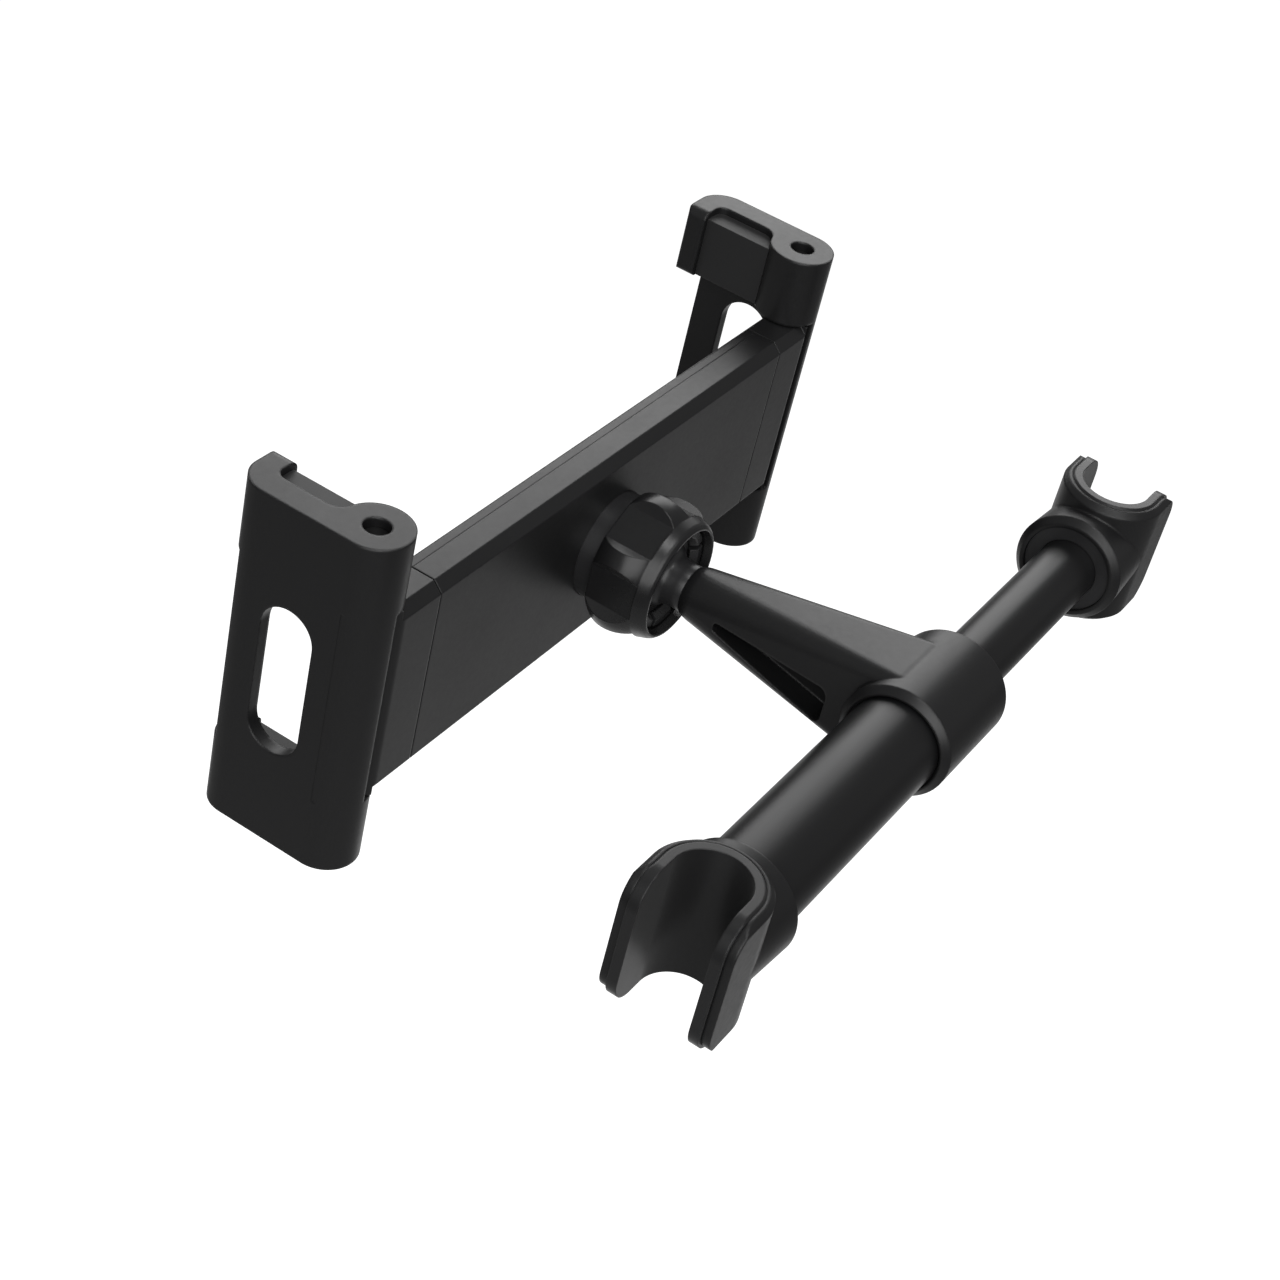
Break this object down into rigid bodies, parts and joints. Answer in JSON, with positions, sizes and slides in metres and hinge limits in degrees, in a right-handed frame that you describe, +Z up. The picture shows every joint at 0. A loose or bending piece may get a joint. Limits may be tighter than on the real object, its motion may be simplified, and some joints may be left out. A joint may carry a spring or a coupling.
{
  "type": "headrest tablet mount",
  "caption": "Telescopic bar that hooks between a car headrest's posts, with a ball-jointed holder whose sprung, folding jaws grip a tablet.",
  "frame": {"origin": "on the bar's axis, in the middle plane of the arm, half-way between the two post channels", "axes": "+X along the bar to the fixed hook, +Y from the tablet towards the seat, +Z up along the posts"},
  "size_m": [0.1806, 0.1136, 0.072],
  "materials": {
    "moulded_black": "satin moulded plastic with a fine grain",
    "shell_black": "satin moulded plastic with a fine grain",
    "knob_black": "satin moulded plastic",
    "socket_black": "satin moulded plastic",
    "ball_black": "smooth moulded plastic",
    "tube_black": "satin black paint on a drawn tube",
    "soft_black": "matte soft plastic",
    "pad_black": "matte soft plastic",
    "cup_rubber": "matte rubber",
    "inner_grey": "plain moulded plastic",
    "gear_white": "plain moulded acetal",
    "pin_black": "blackened steel",
    "spring_steel": "drawn spring wire",
    "screw_steel": "zinc-plated steel"
  },
  "bodies": {
    "bar": {"arm": "moulded_black", "ball_stud": "ball_black", "outer_tube": "tube_black", "guide_bush": "inner_grey", "bar_spring": "spring_steel", "left_hook": "moulded_black", "left_hook_liner": "soft_black"},
    "sliding_tube": {"inner_tube": "tube_black", "inner_tube_plug": "inner_grey", "right_hook": "moulded_black", "right_hook_bush": "inner_grey", "right_hook_liner": "soft_black"},
    "ball_cup": {"friction_cup": "cup_rubber"},
    "ball_ring": {"pressure_ring": "inner_grey"},
    "holder": {"ball_socket": "socket_black", "socket_screws": "screw_steel", "rear_shell": "shell_black", "front_cover": "shell_black", "front_sheet": "soft_black", "cover_screws": "screw_steel", "pinion_axle": "screw_steel", "left_slide_spring": "spring_steel", "right_slide_spring": "spring_steel"},
    "knob": {"clamp_knob": "knob_black"},
    "pinion": {"drive_pinion": "gear_white"},
    "left_end": {"left_slide": "shell_black", "left_hinge_pin": "pin_black"},
    "left_clamp": {"left_jaw": "moulded_black", "left_upper_pad": "pad_black", "left_lower_pad": "pad_black"},
    "right_end": {"right_slide": "shell_black", "right_hinge_pin": "pin_black"},
    "right_clamp": {"right_jaw": "moulded_black", "right_upper_pad": "pad_black", "right_lower_pad": "pad_black"}
  },
  "joints": [
    {"name": "bar_extension", "type": "slide", "parent": "bar", "child": "sliding_tube", "axis": [1, 0, 0], "range_m": [0, 0.04], "stiffness_N_per_m": 120, "springref_m": -0.03, "deforming": ["bar_spring"]},
    {"name": "ball_pitch", "type": "hinge", "parent": "bar", "child": "ball_cup", "pos_m": [0, -0.0617, 0], "axis": [1, 0, 0], "range_deg": [-15, 15]},
    {"name": "ball_yaw", "type": "hinge", "parent": "ball_cup", "child": "ball_ring", "pos_m": [0, -0.0617, 0], "axis": [0, 0, 1], "range_deg": [-15, 15]},
    {"name": "ball_roll", "type": "hinge", "parent": "ball_ring", "child": "holder", "pos_m": [0, -0.0617, 0], "axis": [0, 1, 0], "continuous": true},
    {"name": "knob_turn", "type": "hinge", "parent": "holder", "child": "knob", "pos_m": [0, -0.06, 0], "axis": [0, 1, 0], "range_deg": [0, 300]},
    {"name": "left_end_pull", "type": "slide", "parent": "holder", "child": "left_end", "axis": [1, 0, 0], "range_m": [0, 0.04], "stiffness_N_per_m": 60, "springref_m": -0.03, "deforming": ["left_slide_spring"]},
    {"name": "right_end_pull", "type": "slide", "parent": "holder", "child": "right_end", "axis": [-1, 0, 0], "range_m": [0, 0.04], "stiffness_N_per_m": 60, "springref_m": -0.03, "deforming": ["right_slide_spring"]},
    {"name": "pinion_turn", "type": "hinge", "parent": "holder", "child": "pinion", "pos_m": [0, -0.0755, 0], "axis": [0, 1, 0], "range_deg": [0, 286.6]},
    {"name": "left_jaw_fold", "type": "hinge", "parent": "left_end", "child": "left_clamp", "pos_m": [0.0723, -0.077, 0], "axis": [0, 0, -1], "range_deg": [0, 90]},
    {"name": "right_jaw_fold", "type": "hinge", "parent": "right_end", "child": "right_clamp", "pos_m": [-0.0723, -0.077, 0], "axis": [0, 0, 1], "range_deg": [0, 90]}
  ],
  "couplings": [
    {"joint": "right_end_pull", "follows": "left_end_pull", "ratio": 1},
    {"joint": "pinion_turn", "follows": "left_end_pull", "rad_per_m": 125}
  ]
}
